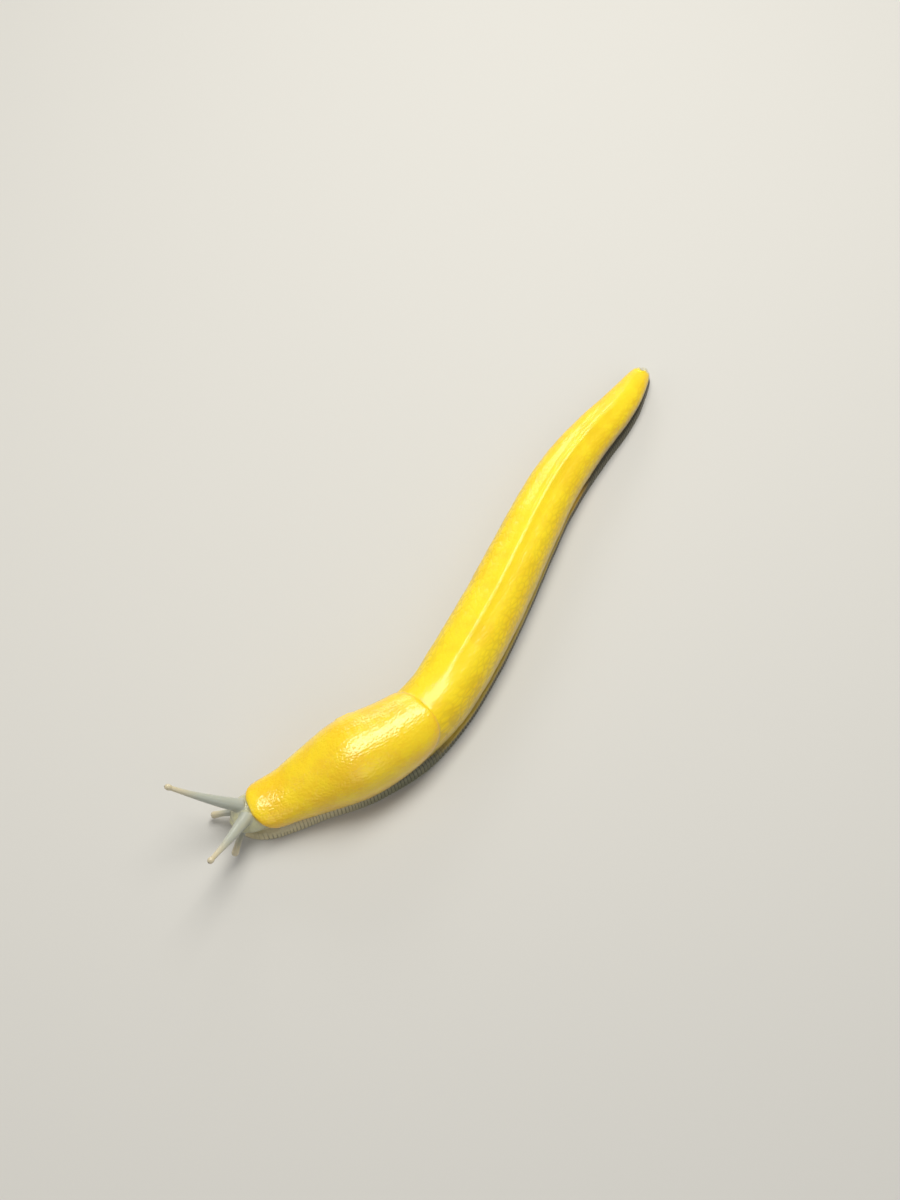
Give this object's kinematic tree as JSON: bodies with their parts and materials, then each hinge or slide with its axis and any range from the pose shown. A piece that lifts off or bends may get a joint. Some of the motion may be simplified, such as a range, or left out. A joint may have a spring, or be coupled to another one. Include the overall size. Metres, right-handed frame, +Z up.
{
  "type": "banana slug",
  "caption": "Life-size still model of a banana slug crawling with its horns out: yellow back with a low keel, smooth mantle, grey head and a fringed foot.",
  "frame": {"origin": "middle of the slug's outline, on the floor it crawls on", "axes": "+X towards the head along the slug's length, +Z up, +Y to the slug's left"},
  "size_m": [0.1993, 0.0435, 0.0195],
  "materials": {
    "back_skin": "wet bright yellow slug skin, finely wrinkled",
    "mantle_skin": "wet golden yellow slug skin, smooth and finely granular",
    "head_skin": "wet pale greenish grey slug skin",
    "tentacle_skin": "wet translucent blue grey skin",
    "eye_bulb": "wet pale tan bulb with a small black eye inside",
    "fringe_skin": "wet pale fringe with fine dark upright lines",
    "sole_skin": "wet pale cream sole",
    "pore_skin": "wet translucent whitish skin"
  },
  "bodies": {
    "root": {"back_front": "back_skin", "back_middle": "back_skin", "back_rear": "back_skin", "breathing_pore_rim": "mantle_skin", "eye_left": "eye_bulb", "eye_right": "eye_bulb", "feeler_left": "tentacle_skin", "feeler_right": "tentacle_skin", "fringe_left_1": "fringe_skin", "fringe_left_2": "fringe_skin", "fringe_left_3": "fringe_skin", "fringe_left_4": "fringe_skin", "fringe_left_5": "fringe_skin", "fringe_left_6": "fringe_skin", "fringe_left_7": "fringe_skin", "fringe_right_1": "fringe_skin", "fringe_right_2": "fringe_skin", "fringe_right_3": "fringe_skin", "fringe_right_4": "fringe_skin", "fringe_right_5": "fringe_skin", "fringe_right_6": "fringe_skin", "fringe_right_7": "fringe_skin", "head": "head_skin", "lip_left": "head_skin", "lip_right": "head_skin", "lip_upper": "head_skin", "mantle": "mantle_skin", "neck": "head_skin", "sole_1": "sole_skin", "sole_2": "sole_skin", "sole_3": "sole_skin", "sole_4": "sole_skin", "sole_5": "sole_skin", "sole_6": "sole_skin", "sole_7": "sole_skin", "stalk_left_root": "tentacle_skin", "stalk_left_tip": "tentacle_skin", "stalk_right_root": "tentacle_skin", "stalk_right_tip": "tentacle_skin", "tail": "back_skin", "tail_pore": "pore_skin", "torso_front": "back_skin", "torso_rear": "back_skin"}
  },
  "joints": []
}
